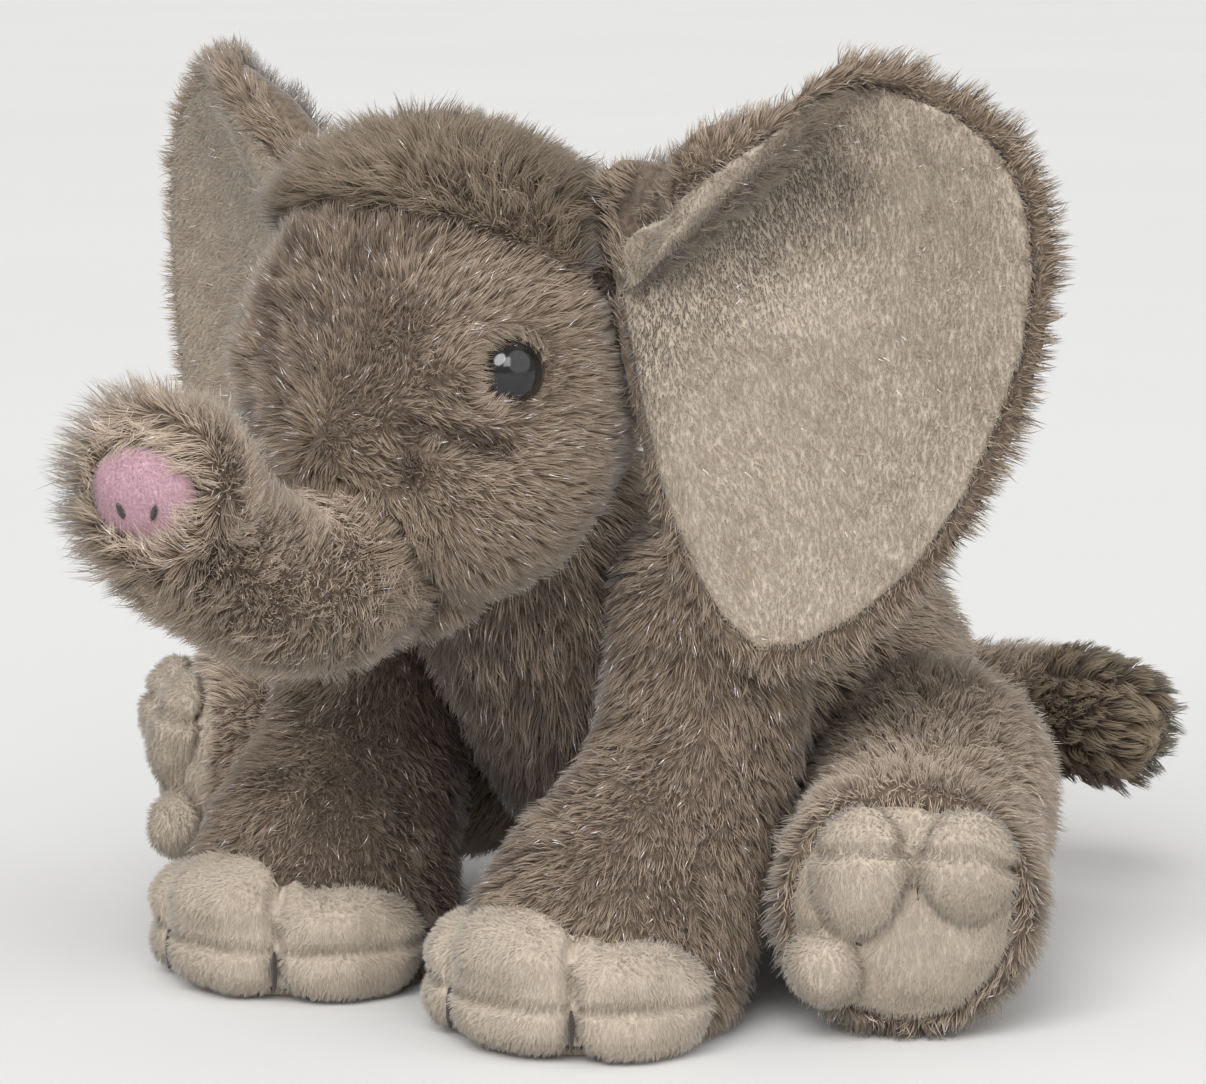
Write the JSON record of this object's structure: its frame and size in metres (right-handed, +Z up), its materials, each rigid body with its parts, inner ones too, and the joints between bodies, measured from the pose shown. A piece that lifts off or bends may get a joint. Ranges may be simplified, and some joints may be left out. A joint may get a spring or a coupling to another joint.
{
  "type": "stuffed toy elephant",
  "caption": "Long-pile plush elephant calf that sits, with wide velboa-lined ears, a raised trunk with a velour tip, and velboa toes and soles.",
  "frame": {"origin": "on the floor, under the middle of the toy's outline", "axes": "+Z up, the toy faces -Y and its left side is +X"},
  "size_m": [0.2493, 0.276, 0.2027],
  "materials": {
    "taupe_plush": "long clumped polyester pile with a fine sparkle",
    "olive_plush": "longer ragged polyester pile",
    "beige_velboa": "short brushed pile",
    "pink_velour": "very short velour pile",
    "black_plastic": "polished",
    "white_plastic": "moulded",
    "polyester_fill": "loose white fibre",
    "pouch_cloth": "plain woven cotton",
    "dark_thread": "twisted thread"
  },
  "bodies": {
    "torso": {"torso_skin": "taupe_plush", "torso_stuffing": "polyester_fill", "seat_pellet_pouch": "pouch_cloth"},
    "neck": {"neck_stuffing": "polyester_fill"},
    "head": {"face_skin": "taupe_plush", "crown_skin": "olive_plush", "chin_skin": "taupe_plush", "head_stuffing": "polyester_fill", "left_eye": "black_plastic", "right_eye": "black_plastic", "left_eye_washer": "white_plastic", "right_eye_washer": "white_plastic"},
    "trunk": {"trunk_skin": "taupe_plush", "trunk_stuffing": "polyester_fill", "trunk_tip_disc": "pink_velour", "nostril_stitches": "dark_thread"},
    "left_ear": {"left_ear_back": "taupe_plush", "left_ear_front": "beige_velboa"},
    "right_ear": {"right_ear_back": "taupe_plush", "right_ear_front": "beige_velboa"},
    "left_front_leg": {"left_front_leg_skin": "taupe_plush", "left_front_leg_stuffing": "polyester_fill", "left_front_sole": "beige_velboa", "left_front_toes": "beige_velboa", "left_front_toe_stitches": "dark_thread"},
    "right_front_leg": {"right_front_leg_skin": "taupe_plush", "right_front_leg_stuffing": "polyester_fill", "right_front_sole": "beige_velboa", "right_front_toes": "beige_velboa", "right_front_toe_stitches": "dark_thread"},
    "left_hind_leg": {"left_hind_leg_skin": "taupe_plush", "left_hind_leg_stuffing": "polyester_fill", "left_hind_sole": "beige_velboa", "left_hind_toes": "beige_velboa", "left_hind_toe_stitches": "dark_thread"},
    "right_hind_leg": {"right_hind_leg_skin": "taupe_plush", "right_hind_leg_stuffing": "polyester_fill", "right_hind_sole": "beige_velboa", "right_hind_toes": "beige_velboa", "right_hind_toe_stitches": "dark_thread"},
    "tail": {"tail_skin": "taupe_plush", "tail_tuft": "olive_plush", "tail_stuffing": "polyester_fill"}
  },
  "joints": [
    {"name": "neck_turn", "type": "hinge", "parent": "torso", "child": "neck", "pos_m": [0, -0.016, 0.104], "axis": [0, 0, 1], "range_deg": [-4, 4], "stiffness_Nm_per_rad": 1.5},
    {"name": "head_nod", "type": "hinge", "parent": "neck", "child": "head", "pos_m": [0, -0.016, 0.104], "axis": [1, 0, 0], "range_deg": [-5, 2], "stiffness_Nm_per_rad": 2.5},
    {"name": "trunk_lift", "type": "hinge", "parent": "head", "child": "trunk", "pos_m": [0, -0.064, 0.103], "axis": [1, 0, 0], "range_deg": [-10, 10], "stiffness_Nm_per_rad": 0.8},
    {"name": "left_ear_flap", "type": "hinge", "parent": "head", "child": "left_ear", "pos_m": [0.042, -0.031, 0.147], "axis": [0.1986, 0.1056, -0.9744], "range_deg": [-8, 24], "stiffness_Nm_per_rad": 0.15},
    {"name": "right_ear_flap", "type": "hinge", "parent": "head", "child": "right_ear", "pos_m": [-0.042, -0.031, 0.142], "axis": [0.1986, -0.1056, 0.9744], "range_deg": [-8, 24], "stiffness_Nm_per_rad": 0.15},
    {"name": "left_front_leg_swing", "type": "hinge", "parent": "torso", "child": "left_front_leg", "pos_m": [0.046, -0.008, 0.086], "axis": [1, 0, 0], "range_deg": [-6, 4.5], "stiffness_Nm_per_rad": 3},
    {"name": "right_front_leg_swing", "type": "hinge", "parent": "torso", "child": "right_front_leg", "pos_m": [-0.046, -0.008, 0.086], "axis": [1, 0, 0], "range_deg": [-6, 4.5], "stiffness_Nm_per_rad": 3},
    {"name": "left_hind_leg_splay", "type": "hinge", "parent": "torso", "child": "left_hind_leg", "pos_m": [0.057, 0.055, 0.04], "axis": [0, 0, 1], "range_deg": [-1.5, 10], "stiffness_Nm_per_rad": 1.5},
    {"name": "right_hind_leg_splay", "type": "hinge", "parent": "torso", "child": "right_hind_leg", "pos_m": [-0.06, 0.0498, 0.04], "axis": [0, 0, -1], "range_deg": [-1.5, 10], "stiffness_Nm_per_rad": 1.5},
    {"name": "tail_swing", "type": "hinge", "parent": "torso", "child": "tail", "pos_m": [0.002, 0.103, 0.047], "axis": [0, 0, 1], "range_deg": [-15, 15], "stiffness_Nm_per_rad": 0.12}
  ]
}
